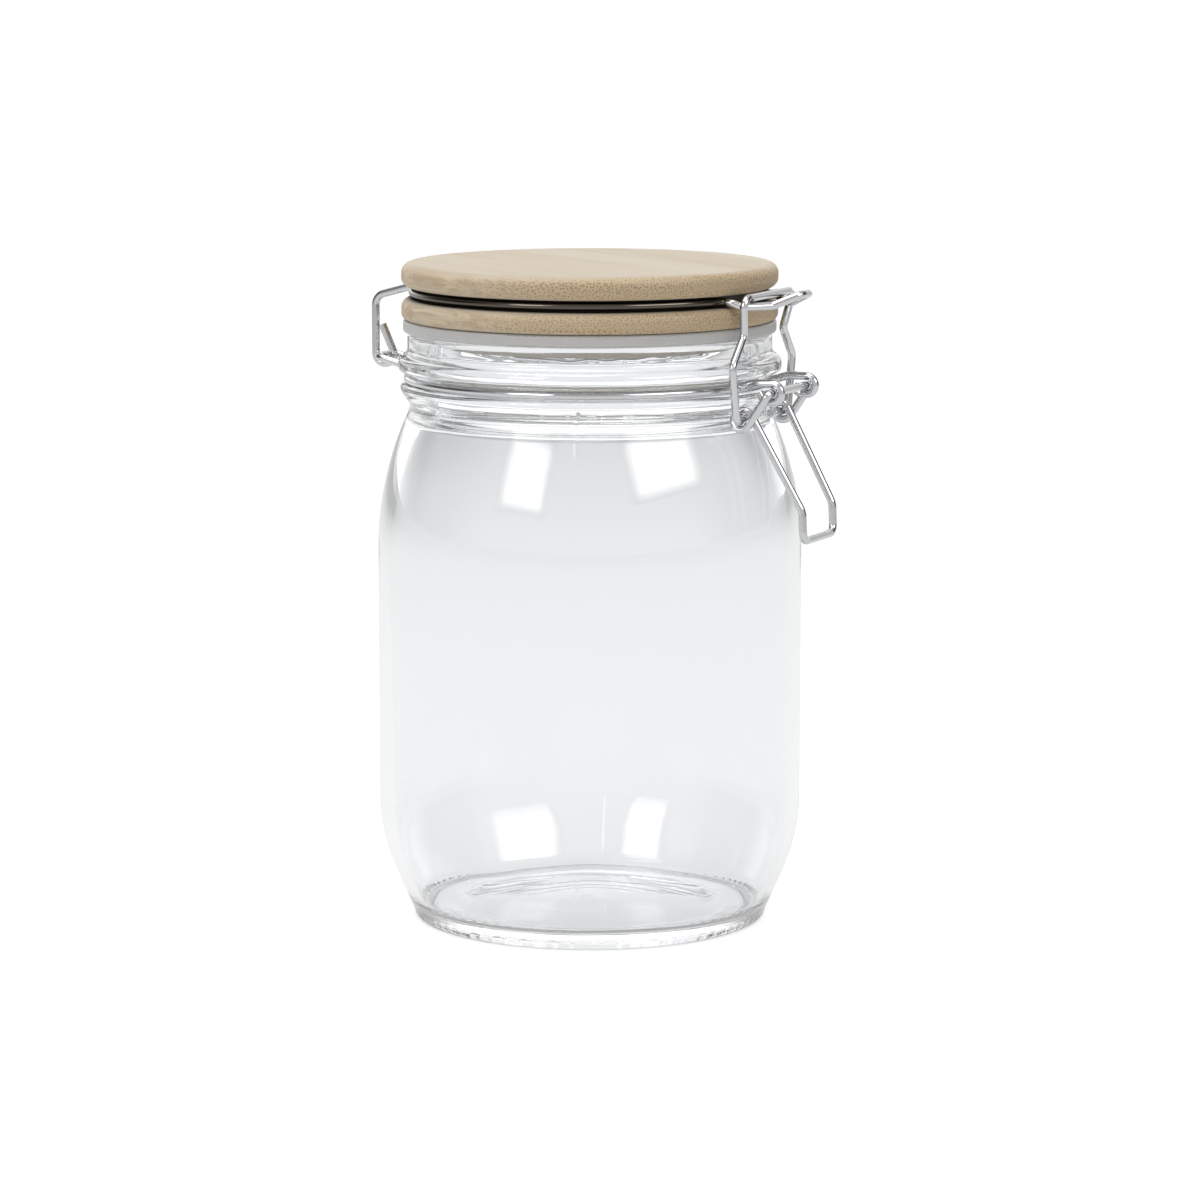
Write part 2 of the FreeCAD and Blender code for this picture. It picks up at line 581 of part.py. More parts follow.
faults = []
for made in doc.Objects:
    if "Invalid" in made.State or "Error" in made.State:
        faults.append(f"{made.Name}: {made.State}")
for piece in pieces:
    if piece.Shape.isNull() or not piece.Shape.isValid():
        faults.append(f"{piece.Label}: no valid shape")
    elif len(piece.Shape.Solids) != 1:
        faults.append(f"{piece.Label}: {len(piece.Shape.Solids)} solids")
if faults:
    raise RuntimeError("; ".join(faults))

os.makedirs("parts", exist_ok=True)
for piece in pieces:
    piece.Shape.exportStep(f"parts/{piece.Label}.step")
    print(f"{piece.Label}: {piece.Shape.Volume / 1000:.2f} cm3")
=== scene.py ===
import math

import bmesh
import bpy
import numpy as np
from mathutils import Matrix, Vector, noise

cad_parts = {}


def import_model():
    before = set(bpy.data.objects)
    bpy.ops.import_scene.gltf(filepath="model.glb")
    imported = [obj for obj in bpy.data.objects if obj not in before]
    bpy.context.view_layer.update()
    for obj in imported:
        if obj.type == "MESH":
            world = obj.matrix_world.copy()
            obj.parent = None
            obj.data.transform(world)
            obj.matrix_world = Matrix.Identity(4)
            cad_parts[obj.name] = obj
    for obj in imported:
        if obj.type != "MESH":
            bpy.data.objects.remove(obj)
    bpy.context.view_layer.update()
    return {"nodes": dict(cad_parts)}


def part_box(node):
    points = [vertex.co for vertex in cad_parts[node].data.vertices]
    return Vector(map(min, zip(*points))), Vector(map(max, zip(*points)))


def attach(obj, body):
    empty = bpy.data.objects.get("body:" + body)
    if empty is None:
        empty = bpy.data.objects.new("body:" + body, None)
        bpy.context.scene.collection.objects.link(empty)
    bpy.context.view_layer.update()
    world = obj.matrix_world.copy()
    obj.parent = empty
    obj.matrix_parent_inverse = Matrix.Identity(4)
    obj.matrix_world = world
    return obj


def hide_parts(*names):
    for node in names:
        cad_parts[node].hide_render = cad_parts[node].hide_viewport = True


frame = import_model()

# An empty clip-top preserving jar of clear glass with a bamboo lid, a silicone gasket and a steel
# wire clasp, on a plain pale floor. Lengths are in metres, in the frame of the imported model: +Z up,
# the origin on the jar's axis on the floor, the clasp towards +X.

nodes = frame["nodes"]
MM = 0.001


# --- node trees --------------------------------------------------------------------------------------


class Tree:
    """A short way of writing a node tree: each call adds a node, sets its inputs and returns it."""

    def __init__(self, tree):
        self.tree = tree
        tree.nodes.clear()

    def node(self, kind, settings=None, **inputs):
        made = self.tree.nodes.new(kind)
        for name, value in (settings or {}).items():
            setattr(made, name, value)
        for name, value in inputs.items():
            self.feed(made.inputs[name.replace("_", " ")], value)
        return made

    def feed(self, socket, value):
        if isinstance(value, bpy.types.NodeSocket):
            self.tree.links.new(value, socket)
        elif isinstance(value, bpy.types.Node):
            self.tree.links.new(value.outputs[0], socket)
        else:
            socket.default_value = value

    def maths(self, operation, *values, clamp=False):
        made = self.tree.nodes.new("ShaderNodeMath")
        made.operation = operation
        made.use_clamp = clamp
        for n, value in enumerate(values):
            self.feed(made.inputs[n], value)
        return made.outputs[0]

    def ramp(self, factor, *stops):
        """A smooth ramp through (position, value or colour) stops."""
        made = self.tree.nodes.new("ShaderNodeValToRGB")
        elements = made.color_ramp.elements
        while len(elements) < len(stops):
            elements.new(0.5)
        for element, (position, colour) in zip(elements, stops):
            element.position = position
            if isinstance(colour, (int, float)):
                colour = (colour, colour, colour)
            element.color = (*colour, 1.0)
        self.feed(made.inputs["Fac"], factor)
        return made.outputs["Color"]

    def mix(self, factor, first, second, blend="MIX"):
        made = self.tree.nodes.new("ShaderNodeMix")
        made.data_type = "RGBA"
        made.blend_type = blend
        self.feed(made.inputs[0], factor)
        for socket, value in ((made.inputs[6], first), (made.inputs[7], second)):
            self.feed(socket, (*value, 1.0) if isinstance(value, tuple) else value)
        return made.outputs[2]

    def stretched(self, scale, turn=0.0):
        """Object coordinates turned about Z and scaled, so that patterns are sized in metres."""
        coordinates = self.tree.nodes.new("ShaderNodeTexCoord").outputs["Object"]
        turned = self.node("ShaderNodeMapping", Vector=coordinates, Rotation=(0.0, 0.0, -turn))
        return self.node("ShaderNodeMapping", Vector=turned, Scale=scale).outputs[0]

    def noise(self, vector, scale=1.0, detail=2.0, roughness=0.5):
        made = self.node(
            "ShaderNodeTexNoise", Vector=vector, Scale=scale, Detail=detail, Roughness=roughness
        )
        return made.outputs["Fac"]

    def bump(self, height, distance, strength=1.0):
        return self.node(
            "ShaderNodeBump", Height=height, Distance=distance, Strength=strength
        ).outputs[0]

    def split(self, vector):
        """The three parts of a vector."""
        return self.node("ShaderNodeSeparateXYZ", Vector=vector).outputs

    def step(self, value, start, end):
        """0 up to start, 1 from end on, and smooth between them."""
        made = self.node("ShaderNodeMapRange", {"interpolation_type": "SMOOTHSTEP"}, Value=value)
        self.feed(made.inputs["From Min"], min(start, end))
        self.feed(made.inputs["From Max"], max(start, end))
        self.feed(made.inputs["To Min"], 0.0 if start < end else 1.0)
        self.feed(made.inputs["To Max"], 1.0 if start < end else 0.0)
        return made.outputs[0]

    def place(self):
        """Distance from the jar's axis, and height, of a point in the frame of its own body."""
        x, y, z = self.split(self.tree.nodes.new("ShaderNodeTexCoord").outputs["Object"])
        squares = self.maths("ADD", self.maths("MULTIPLY", x, x), self.maths("MULTIPLY", y, y))
        return self.maths("SQRT", squares), z


def surface(name, **inputs):
    """A material with a Principled shader. Returns the material, its tree and the shader."""
    made = bpy.data.materials.new(name)
    made.use_nodes = True
    tree = Tree(made.node_tree)
    shader = tree.node("ShaderNodeBsdfPrincipled", **inputs)
    output = tree.node("ShaderNodeOutputMaterial")
    tree.tree.links.new(shader.outputs[0], output.inputs["Surface"])
    return made, tree, shader


def paint(piece, material):
    piece.data.materials.clear()
    piece.data.materials.append(material)


# --- materials ---------------------------------------------------------------------------------------


def glass_material():
    """Clear soda-lime glass, with the slight unevenness that a mould leaves."""
    made, tree, shader = surface(
        "clear_glass",
        Base_Color=(0.966, 0.975, 0.984, 1.0),
        Roughness=0.0,
        IOR=1.5,
        Transmission_Weight=1.0,
    )
    waves = tree.noise(tree.stretched((1.0, 1.0, 0.45)), scale=55.0, detail=1.0)
    tree.feed(shader.inputs["Normal"], tree.bump(waves, 0.35 * MM, 0.5))
    return made


GRAIN = math.radians(-32.0)
STRIP_WIDTH = 19.0 * MM
LAYER_HEIGHT = 5.6 * MM
FIBRES_PER_METRE = 1500.0
GROOVE_EDGE = 0.7 * MM


def painted_groove_shade(tree, start, end):
    """1 in the groove round the lid, where shade is painted because hardly any light comes, from one
    depth to another.
    """
    radius, height = tree.place()
    low, high = GROOVE
    inside = tree.step(radius, LID_RADIUS - start, LID_RADIUS - end)
    above = tree.step(height, low - GROOVE_EDGE, low)
    below = tree.step(height, high + GROOVE_EDGE, high)
    return tree.maths("MULTIPLY", inside, tree.maths("MULTIPLY", above, below))


def bamboo_material():
    """Bamboo board, glued up from strips: faint streaks along the grain, and the dots of the fibres
    wherever they are cut across; with painted shade in the groove, and painted light on the plug under
    the lid."""
    made, tree, shader = surface("bamboo", IOR=1.45)
    coordinates = tree.tree.nodes.new("ShaderNodeTexCoord").outputs
    turned = tree.node(
        "ShaderNodeMapping", Vector=coordinates["Object"], Rotation=(0.0, 0.0, -GRAIN)
    )
    _, across, up = tree.split(turned.outputs[0])

    wander = tree.noise(tree.stretched((30.0, 260.0, 260.0), GRAIN), detail=1.0)
    wander = tree.maths("MULTIPLY", tree.maths("SUBTRACT", wander, 0.5), 1.6)
    column = tree.maths("DIVIDE", across, STRIP_WIDTH)
    strip = tree.node(
        "ShaderNodeTexWhiteNoise", {"noise_dimensions": "1D"}, W=tree.maths("FLOOR", column)
    ).outputs["Value"]
    fibres = tree.node(
        "ShaderNodeTexVoronoi",
        {"voronoi_dimensions": "2D"},
        Vector=tree.node(
            "ShaderNodeCombineXYZ",
            X=tree.maths("MULTIPLY_ADD", across, FIBRES_PER_METRE, wander),
            Y=tree.maths("MULTIPLY_ADD", up, FIBRES_PER_METRE, wander),
        ).outputs[0],
        Scale=1.0,
        Randomness=0.85,
    ).outputs["Distance"]
    layer = tree.maths("FRACT", tree.maths("MULTIPLY_ADD", up, 1 / LAYER_HEIGHT, strip))
    size = tree.maths("MULTIPLY_ADD", layer, 0.20, 0.27)
    dots = tree.maths("SUBTRACT", 1.0, tree.maths("DIVIDE", fibres, size), clamp=True)
    dots = tree.step(dots, 0.0, 0.85)

    facing = tree.node(
        "ShaderNodeVectorMath", {"operation": "DOT_PRODUCT"}, Vector=coordinates["Normal"]
    )
    tree.feed(facing.inputs[1], (math.cos(GRAIN), math.sin(GRAIN), 0.0))
    cut_across = tree.step(tree.maths("ABSOLUTE", facing.outputs["Value"]), 0.22, 0.75)
    _, _, facing_up = tree.split(coordinates["Normal"])
    edge = tree.step(tree.maths("ABSOLUTE", facing_up), 0.95, 0.4)

    streaks = tree.noise(tree.stretched((9.0, 260.0, 260.0), GRAIN), detail=2.5, roughness=0.6)
    clouds = tree.noise(tree.stretched((14.0, 45.0, 30.0), GRAIN), detail=3.0, roughness=0.6)
    plank = tree.mix(strip, (0.665, 0.575, 0.45), (0.715, 0.63, 0.505))
    streaked = tree.maths("MULTIPLY", tree.step(streaks, 0.52, 0.75), 0.55)
    long_grain = tree.mix(streaked, plank, (0.56, 0.44, 0.30))
    threads = tree.noise(tree.stretched((40.0, 900.0, 900.0), GRAIN), detail=2.0, roughness=0.6)
    threaded = tree.step(threads, 0.35, 0.62)
    side_grain = tree.mix(threaded, (0.66, 0.50, 0.31), (0.84, 0.70, 0.50))
    long_grain = tree.mix(tree.maths("MULTIPLY", edge, 0.8), long_grain, side_grain)
    short_grain = tree.mix(clouds, (0.63, 0.475, 0.285), (0.78, 0.615, 0.41))
    base = tree.mix(cut_across, long_grain, short_grain)
    strength = tree.maths("MULTIPLY_ADD", cut_across, 0.72, 0.07)
    colour = tree.mix(tree.maths("MULTIPLY", dots, strength), base, (0.28, 0.18, 0.09))
    _, height = tree.place()
    # painted light: the plug under the lid is painted paler, for the light that reaches it through the
    # glass
    painted_plug_light = tree.step(height, LID_SEAT, LID_SEAT - 0.3 * MM)
    colour = tree.mix(tree.maths("MULTIPLY", painted_plug_light, 0.7), colour, (0.74, 0.71, 0.66))
    # painted shade: the wood in the groove is painted near black for the shadow there
    colour = tree.mix(painted_groove_shade(tree, 1.0 * MM, 2.4 * MM), colour, (0.03, 0.02, 0.014))
    tree.feed(shader.inputs["Base Color"], colour)
    tree.feed(shader.inputs["Roughness"], tree.ramp(clouds, (0.3, 0.5), (0.7, 0.62)))
    pits = tree.maths("MULTIPLY", dots, cut_across)
    tree.feed(shader.inputs["Normal"], tree.bump(pits, 0.05 * MM, -0.5))
    return made


def silicone_material():
    """Milky silicone rubber, faintly clouded."""
    made, tree, shader = surface(
        "silicone",
        Roughness=0.38,
        IOR=1.41,
        Subsurface_Weight=0.4,
        Subsurface_Radius=(3 * MM, 3 * MM, 3 * MM),
        Subsurface_Scale=1.0,
    )
    cloud = tree.noise(tree.stretched((60.0, 60.0, 200.0)), detail=2.0)
    colour = tree.mix(cloud, (0.68, 0.675, 0.665), (0.75, 0.745, 0.735))
    tree.feed(shader.inputs["Base Color"], colour)
    tree.feed(shader.inputs["Roughness"], tree.ramp(cloud, (0.3, 0.34), (0.7, 0.44)))
    return made


def steel_material(name="steel_wire", shaded_in_groove=False):
    """Bright drawn wire with fine scratches, and painted shade where it lies in the groove of the lid.
    """
    made, tree, shader = surface(name, Metallic=1.0)
    marks = tree.noise(tree.stretched((700.0, 700.0, 700.0)), detail=3.0, roughness=0.7)
    tone = tree.noise(tree.stretched((60.0, 60.0, 60.0)), detail=2.0)
    colour = tree.mix(tone, (0.56, 0.565, 0.575), (0.68, 0.685, 0.695))
    if shaded_in_groove:
        # painted shade: the wire is painted dark where it lies in the shadowed groove
        colour = tree.mix(painted_groove_shade(tree, 0.2 * MM, 1.4 * MM), colour, (0.11, 0.095, 0.08))
    tree.feed(shader.inputs["Base Color"], colour)
    tree.feed(shader.inputs["Roughness"], tree.ramp(marks, (0.3, 0.10), (0.75, 0.2)))
    tree.feed(shader.inputs["Normal"], tree.bump(marks, 0.01 * MM, 0.2))
    return made


def light_paths(tree):
    rays = tree.tree.nodes.new("ShaderNodeLightPath").outputs
    return rays["Is Camera Ray"], rays["Is Glossy Ray"], rays["Is Transmission Ray"]


def floor_material():
    """A pale floor, near white in plain view, in gloss and through the glass. It dims far away for
    gloss alone, so that no hard horizon is mirrored, and has a painted shadow under the jar."""
    made, tree, shader = surface("floor", Roughness=0.8)
    grain = tree.noise(tree.stretched((8.0, 8.0, 8.0)), detail=2.0)
    colour = tree.mix(grain, (0.90, 0.90, 0.90), (0.92, 0.92, 0.92))
    tree.feed(shader.inputs["Base Color"], colour)
    camera, glossy, through = light_paths(tree)
    seen = tree.maths("MAXIMUM", camera, tree.maths("MAXIMUM", glossy, through))
    strength = tree.maths("MULTIPLY_ADD", camera, WHITE_SEEN - WHITE_THROUGH, WHITE_THROUGH)
    away, _ = tree.place()
    dimmed = tree.maths("MULTIPLY", glossy, tree.step(away, 0.35, 2.5))
    strength = tree.maths("MULTIPLY_ADD", dimmed, -0.45, strength)
    # painted shadow: the floor's glow is dimmed under the jar, most where it touches the floor, since
    # hardly any light comes there
    under = tree.step(away, 44.6 * MM, 42.0 * MM)
    painted_contact_shadow = tree.maths("MULTIPLY", under, tree.step(away, 38.0 * MM, 41.0 * MM))
    strength = tree.maths("MULTIPLY_ADD", under, -0.22, strength)
    strength = tree.maths("MULTIPLY_ADD", painted_contact_shadow, -0.35, strength)
    white = tree.node("ShaderNodeEmission", Color=(1.0, 1.0, 1.0, 1.0), Strength=strength)
    mixed = tree.node("ShaderNodeMixShader", Fac=tree.maths("MULTIPLY", seen, FLOOR_WHITE))
    tree.tree.links.new(shader.outputs[0], mixed.inputs[1])
    tree.tree.links.new(white.outputs[0], mixed.inputs[2])
    output = [n for n in tree.tree.nodes if n.type == "OUTPUT_MATERIAL"][0]
    tree.tree.links.new(mixed.outputs[0], output.inputs["Surface"])
    return made


# --- turned pieces -----------------------------------------------------------------------------------


def turned_profile(node):
    """The outline of a turned CAD node, as (radius, height) points in order along it. The seam of
    the turned solid lies in the plane y = 0, so its vertices there are the outline."""
    solid = bmesh.new()
    solid.from_mesh(nodes[node].data)
    bmesh.ops.remove_doubles(solid, verts=solid.verts, dist=1e-7)
    beside = {}
    for edge in solid.edges:
        ends = [v for v in edge.verts if abs(v.co.y) < 1e-7 and v.co.x > -1e-7]
        if len(ends) == 2:
            for near, far in (ends, reversed(ends)):
                beside.setdefault(near, []).append(far)
    at = min((v for v in beside if len(beside[v]) == 1), key=lambda v: v.co.z)
    before, chain = None, []
    while at is not None:
        chain.append((at.co.x, at.co.z))
        onward = [v for v in beside[at] if v is not before]
        before, at = at, (onward[0] if onward else None)
    solid.free()
    return chain


def refined(chain, longest):
    """The outline with long runs divided, and its round stretches curved between the points."""
    points = np.array(chain)
    steps = np.diff(points, axis=0)
    lengths = np.linalg.norm(steps, axis=1)
    ways = steps / lengths[:, None]
    turns = np.arccos(np.clip((ways[:-1] * ways[1:]).sum(1), -1, 1))
    joins = np.concatenate([[False], turns < math.radians(18.0), [False]])

    def way_at(n, run):
        """The direction of the outline at point n, seen from one of its two runs."""
        if not joins[n]:
            return ways[run]
        before, after = lengths[n - 1], lengths[n]
        if max(before, after) > 2.5 * min(before, after):
            return ways[n - 1] if before > after else ways[n]
        return (ways[n - 1] + ways[n]) / 2

    made = []
    for n, length in enumerate(lengths):
        first, last = points[n], points[n + 1]
        start, end = way_at(n, n), way_at(n + 1, n)
        count = max(1, math.ceil(length / longest))
        for k in range(count):
            t = k / count
            made.append(
                (2 * t**3 - 3 * t**2 + 1) * first
                + (t**3 - 2 * t**2 + t) * start * length
                + (3 * t**2 - 2 * t**3) * last
                + (t**3 - t**2) * end * length
            )
    made.append(points[-1])
    return [tuple(point) for point in made]


def turned_mesh(name, outline, angles, relief=None):
    """A closed mesh turned from an outline that starts and ends on the axis."""
    points = np.array(outline)
    ways = np.gradient(points, axis=0)
    ways /= np.linalg.norm(ways, axis=1)[:, None]
    solid = bmesh.new()
    rings = []
    for n, (radius, height) in enumerate(outline):
        if radius < 1e-6:
            rings.append([solid.verts.new((0.0, 0.0, height))])
            continue
        ring = []
        for angle in angles:
            out = relief(n, radius, height, angle) if relief else 0.0
            r, z = radius + ways[n][1] * out, height - ways[n][0] * out
            ring.append(solid.verts.new((r * math.cos(angle), r * math.sin(angle), z)))
        rings.append(ring)
    for low, high in zip(rings, rings[1:]):
        for k in range(len(angles)):
            corners = [low[k % len(low)], low[(k + 1) % len(low)]]
            corners += [high[(k + 1) % len(high)], high[k % len(high)]]
            solid.faces.new(list(dict.fromkeys(corners)))
    bmesh.ops.recalc_face_normals(solid, faces=solid.faces)
    mesh = bpy.data.meshes.new(name)
    solid.to_mesh(mesh)
    solid.free()
    piece = bpy.data.objects.new(name, mesh)
    bpy.context.scene.collection.objects.link(piece)
    mesh.shade_smooth()
    return piece


def corners_of(chain, shortest=1.1 * MM):
    """The sharp corners of an outline whose edges are rounded: where its straight runs meet."""
    points = [np.array(p) for p in chain]
    runs = [(a, b) for a, b in zip(points, points[1:]) if np.linalg.norm(b - a) > shortest]
    made = [runs[0][0]]
    for (a, b), (c, d) in zip(runs, runs[1:]):
        first, second, between = b - a, d - c, c - a
        t = (between[0] * second[1] - between[1] * second[0]) / (
            first[0] * second[1] - first[1] * second[0]
        )
        made.append(a + t * first)
    return made + [runs[-1][1]]


def rounded(corners, radii, steps=9):
    """The outline through the corners, with each one rounded to its radius."""
    corners = [np.array(corner) for corner in corners]
    made = [corners[0]]
    for before, at, after, radius in zip(corners, corners[1:], corners[2:], radii):
        back, on = (before - at), (after - at)
        back, on = back / np.linalg.norm(back), on / np.linalg.norm(on)
        half = math.acos(np.clip(back @ on, -1, 1)) / 2
        reach = radius / math.tan(half)
        centre = at + (back + on) / np.linalg.norm(back + on) * radius / math.sin(half)
        first, last = at + back * reach - centre, at + on * reach - centre
        for k in range(steps + 1):
            t = k / steps
            way = first * (1 - t) + last * t
            made.append(centre + way / np.linalg.norm(way) * radius)
    return [tuple(p) for p in made + [corners[-1]]]


# --- glass jar ---------------------------------------------------------------------------------------

KNURLS = 78
KNURL = 0.17 * MM
RIM_ROUND = 1.7  # in mm, as in the lists below
BASE_FROM = 12.0 * MM
# a slight waist inside the neck, which follows the outside there: (radius, drop from the rim)
WAIST_FROM, WAIST_TO = 12.0, 22.0
WAIST = [
    (40.6, 12.6), (40.52, 13.6), (40.25, 14.7), (39.88, 15.8), (39.62, 16.8), (39.58, 17.6),
    (39.75, 18.4), (40.12, 19.3), (40.6, 20.2), (41.15, 21.2),
]
# where the outline is softened: from and to, below the rim, and its (radius, drop) points there
SOFTENED = [
    (18.1, 14.1, [
        (44.47, 18.0), (44.5, 17.75), (44.65, 17.45), (46.5, 14.65), (46.62, 14.4), (46.7, 14.12),
    ]),
    (9.45, 7.9, [
        (46.5, 9.5), (46.8, 9.38), (47.08, 9.15), (47.24, 8.85), (47.3, 8.5), (47.31, 8.1),
    ]),
    (1.9, 0.0, [
        (43.3 + RIM_ROUND * math.cos(a), RIM_ROUND - RIM_ROUND * math.sin(a))
        for a in np.linspace(0.0, 1.5, 12)
    ]),
]
SEAMS = [math.radians(a) for a in (-68.0, 112.0)]


def away_from(angle, at):
    return (angle - at + math.pi) % (2 * math.pi) - math.pi


def glass_angles():
    """Even steps for the knurls, and close ones across the two mould seams."""
    even = [2 * math.pi * k / (KNURLS * 6) for k in range(KNURLS * 6)]
    close = [seam + math.radians(0.25) * k for seam in SEAMS for k in range(-10, 11)]
    apart = [a for a in even if all(abs(away_from(a, s)) > math.radians(2.7) for s in SEAMS)]
    return sorted(apart + [a % (2 * math.pi) for a in close])


def blown(chain):
    """The outline of the glass with the softer lines of a blown jar: a rounder rim, a flatter face
    on the upper bead, an even slope under the lower one, a waist in the neck and a thinner base."""
    top = max(z for _, z in chain)
    rim_at = next(n for n, (_, z) in enumerate(chain) if z > top - 1e-6)
    outside, inside = chain[:rim_at], chain[rim_at:]
    for below, above, points in SOFTENED:
        kept = [(z < top - below * MM, z > top - above * MM) for _, z in outside]
        lower = [p for p, (under, _) in zip(outside, kept) if under]
        upper = [p for p, (_, over) in zip(outside, kept) if over]
        outside = lower + [(r * MM, top - drop * MM) for r, drop in points] + upper
    upper = [p for p in inside if p[1] > top - WAIST_FROM * MM]
    lower = [p for p in inside if BASE_FROM < p[1] < top - WAIST_TO * MM]
    waist = [(r * MM, top - drop * MM) for r, drop in WAIST]
    base = [lower[-1], (42.0 * MM, 3.9 * MM), (20.0 * MM, 4.9 * MM), (0.0, 5.2 * MM)]
    return outside + upper + waist + lower[:-1] + rounded(base, [4.0 * MM, 60.0 * MM])


def glass_jar():
    outline = refined(blown(turned_profile("glass_jar")), 1.6 * MM)
    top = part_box("glass_jar")[1].z
    inside_from = next(n for n, (_, z) in enumerate(outline) if z > top - 1e-6)
    neck_from = top - 28 * MM

    def relief(n, radius, height, angle):
        """How far the glass stands out: mould seams, knurls on the bearing ring, and a slight
        unevenness, most of it near the rim."""
        at = Vector((radius * math.cos(angle), radius * math.sin(angle), height))
        neck = min(max((height - neck_from) / (6 * MM), 0.0), 1.0)
        finish = min(max((height - top + 11 * MM) / (3 * MM), 0.0), 1.0)
        rim = min(max((top - 1.5 * MM - height) / (2 * MM), 0.0), 1.0)
        if n >= inside_from:
            out = (0.10 - 0.07 * neck) * MM * noise.noise(at * 45.0)
            out += finish * 0.07 * MM * noise.noise(at * Vector((1.0, 1.0, 1.6)) * 260.0)
            return out * rim
        out = finish * 0.035 * MM * noise.noise(at * 190.0)
        if 6 * MM < height < top - 9 * MM:
            for seam in SEAMS:
                away = abs(away_from(angle, seam)) * radius
                out += (0.08 + 0.05 * neck) * MM * math.exp(-((away / (0.55 * MM)) ** 2))
        if height < 4 * MM and radius > 40 * MM:
            band = math.exp(-(((height - 1.0 * MM) / (0.9 * MM)) ** 2))
            out -= KNURL * band * max(0.0, math.cos(KNURLS * angle)) ** 2
        return out * rim

    piece = turned_mesh("glass", outline, glass_angles(), relief)
    paint(piece, glass_material())
    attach(piece, "jar")
    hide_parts("glass_jar")


# --- bamboo lid --------------------------------------------------------------------------------------


LID_CORNERS = corners_of([(0.0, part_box("bamboo_lid")[0].z)] + turned_profile("bamboo_lid")
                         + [(0.0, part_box("bamboo_lid")[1].z)])
LID_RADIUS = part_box("bamboo_lid")[1].x
LID_SEAT = LID_CORNERS[3][1]
GROOVE = LID_CORNERS[6][1], LID_CORNERS[7][1]


def bamboo_lid():
    """The lid with the soft edges of a sanded board."""
    eased = 0.25 * MM
    radii = [eased, eased, 0.15 * MM, 1.5 * MM, 2.3 * MM, 0.2 * MM, 0.2 * MM, 2.2 * MM, 2.4 * MM]
    outline = refined(rounded(LID_CORNERS, radii), 2.5 * MM)
    piece = turned_mesh("lid", outline, [2 * math.pi * k / 360 for k in range(360)])
    paint(piece, bamboo_material())
    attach(piece, "lid")
    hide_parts("bamboo_lid")


# --- studio ------------------------------------------------------------------------------------------

FLOOR_WHITE = 0.75
WHITE_SEEN, WHITE_THROUGH = 1.24, 1.0


def facing_jar(made, azimuth, elevation, distance):
    """Places an object on a sphere round the jar, with its -Z towards it."""
    a, e = math.radians(azimuth), math.radians(elevation)
    back = Vector((math.sin(a) * math.cos(e), -math.cos(a) * math.cos(e), math.sin(e)))
    made.location = Vector((0.0, 0.0, 0.08)) + back * distance
    made.rotation_euler = (-back).to_track_quat("-Z", "Y").to_euler()
    bpy.context.scene.collection.objects.link(made)


def lamp(name, azimuth, elevation, distance, width, height, power):
    light = bpy.data.lights.new(name, "AREA")
    light.shape = "RECTANGLE"
    light.size = width
    light.size_y = height
    light.energy = power
    made = bpy.data.objects.new(name, light)
    facing_jar(made, azimuth, elevation, distance)


def softbox(name, azimuth, elevation, distance, width, height, radiance):
    """A pane with soft edges that shows only in glossy reflections, and lights nothing else."""
    mesh = bpy.data.meshes.new(name)
    x, y = width / 2, height / 2
    mesh.from_pydata([(-x, -y, 0.0), (x, -y, 0.0), (x, y, 0.0), (-x, y, 0.0)], [], [(0, 1, 2, 3)])
    made = bpy.data.objects.new(name, mesh)
    facing_jar(made, azimuth, elevation, distance)
    for kind in ("camera", "diffuse", "shadow", "volume_scatter"):
        setattr(made, "visible_" + kind, False)
    material = bpy.data.materials.new(name)
    material.use_nodes = True
    tree = Tree(material.node_tree)
    across, along, _ = tree.split(tree.tree.nodes.new("ShaderNodeTexCoord").outputs["Object"])
    shown = radiance
    for part, edge in ((across, x), (along, y)):
        near = tree.step(tree.maths("ABSOLUTE", part), edge, edge * 0.62)
        shown = tree.maths("MULTIPLY", near, shown)
    white = tree.node("ShaderNodeEmission", Color=(1.0, 1.0, 1.0, 1.0), Strength=shown)
    output = tree.node("ShaderNodeOutputMaterial")
    tree.tree.links.new(white.outputs[0], output.inputs["Surface"])
    mesh.materials.append(material)


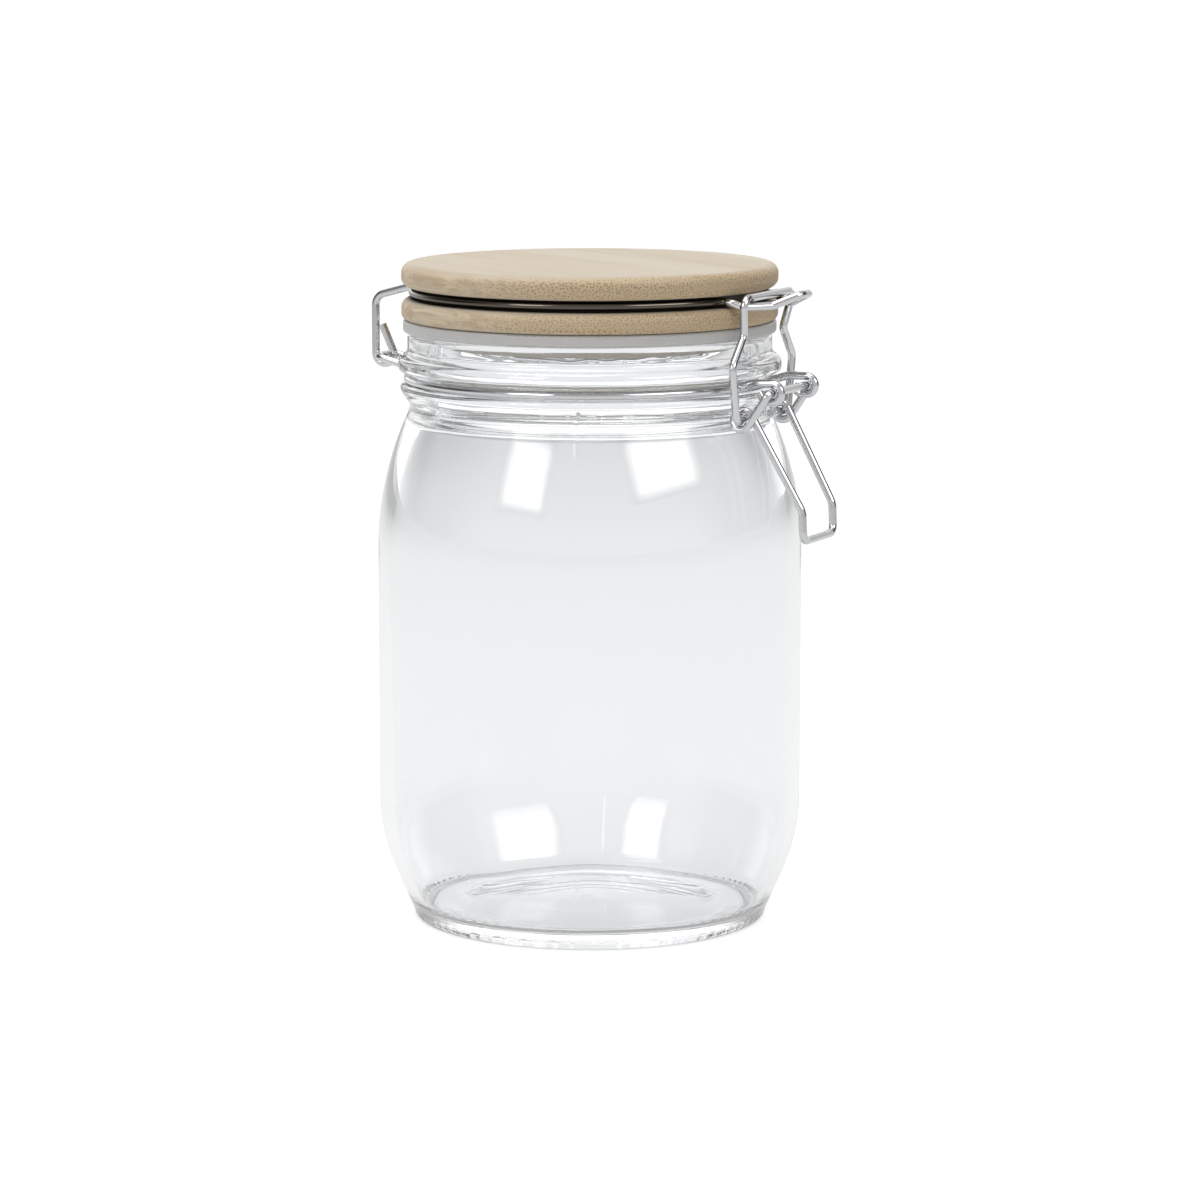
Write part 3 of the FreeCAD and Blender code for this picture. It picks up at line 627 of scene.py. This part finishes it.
def world():
    """A white backdrop for what is seen plainly, through glass and in metal, a darker room in
    front for gloss alone, and a plain even light on everything else."""
    made = bpy.data.worlds.new("studio")
    bpy.context.scene.world = made
    made.use_nodes = True
    tree = Tree(made.node_tree)
    camera, glossy, through = light_paths(tree)
    direction = tree.tree.nodes.new("ShaderNodeTexCoord").outputs["Generated"]
    x, y, z = tree.split(direction)
    up = tree.maths("MULTIPLY_ADD", z, 0.5, 0.5)
    behind = tree.maths("MULTIPLY_ADD", x, -0.44, tree.maths("MULTIPLY", y, 0.90))
    ambient = tree.ramp(up, (0.50, 0.30), (0.95, 0.36))
    refracted = tree.ramp(up, (0.50, 1.0), (0.62, 0.98), (0.78, 0.72), (1.0, 0.62))
    from_front = tree.maths("MULTIPLY_ADD", behind, 0.5, 0.5)
    room = tree.ramp(
        from_front, (0.0, 0.55), (0.25, 0.50), (0.45, 0.08), (0.75, 0.10), (0.90, 0.95)
    )
    near_horizon = tree.maths("MULTIPLY", tree.step(z, 0.40, 0.0), 0.5)
    room = tree.mix(near_horizon, room, tree.mix(1.0, room, room, "ADD"))
    mirrored = tree.mix(tree.step(z, 0.55, 0.9), room, (0.75, 0.75, 0.75))
    colour = tree.mix(through, ambient, refracted)
    colour = tree.mix(glossy, colour, mirrored)
    colour = tree.mix(camera, colour, (1.0, 1.0, 1.0))
    background = tree.node("ShaderNodeBackground", Color=colour, Strength=1.0)
    output = tree.node("ShaderNodeOutputWorld")
    tree.tree.links.new(background.outputs[0], output.inputs["Surface"])


def floor():
    side = 40.0
    mesh = bpy.data.meshes.new("floor")
    corners = [(-side, -side, 0.0), (side, -side, 0.0), (side, side, 0.0), (-side, side, 0.0)]
    mesh.from_pydata(corners, [], [(0, 1, 2, 3)])
    made = bpy.data.objects.new("floor", mesh)
    made.location.z = -0.02 * MM
    bpy.context.scene.collection.objects.link(made)
    paint(made, floor_material())


def camera():
    """The view of a 135 mm lens from a little above the jar, 26 degrees round from the front."""
    lens = bpy.data.cameras.new("camera")
    lens.lens = 135.0
    lens.sensor_width = 36.0
    lens.shift_x = 0.0085
    made = bpy.data.objects.new("camera", lens)
    azimuth, pitch, away = math.radians(26.0), math.radians(8.85), 1.1065
    made.location = (away * math.sin(azimuth), -away * math.cos(azimuth), 0.2513)
    made.rotation_euler = (math.pi / 2 - pitch, 0.0, azimuth)
    bpy.context.scene.collection.objects.link(made)
    bpy.context.scene.camera = made


# --- the whole ---------------------------------------------------------------------------------------

glass_jar()
bamboo_lid()
steel = steel_material()
for wire in ("neck_ring", "lever", "bail"):
    paint(nodes[wire], steel)
paint(nodes["lid_wire"], steel_material("steel_wire_lid", shaded_in_groove=True))
paint(nodes["gasket"], silicone_material())

world()
floor()
lamp("overhead", -20.0, 78.0, 1.1, 0.9, 0.7, 7.9)
softbox("window_left", -13.0, 27.0, 0.9, 0.45, 0.45, 4.6)
softbox("window_right", 73.0, 31.0, 0.9, 0.72, 0.40, 4.4)
camera()

bpy.context.scene.view_settings.view_transform = "Standard"
# light is reflected many times inside the thick base and the beads before it leaves the glass
bpy.context.scene.cycles.max_bounces = 48
bpy.context.scene.cycles.glossy_bounces = 24
bpy.context.scene.cycles.transmission_bounces = 32
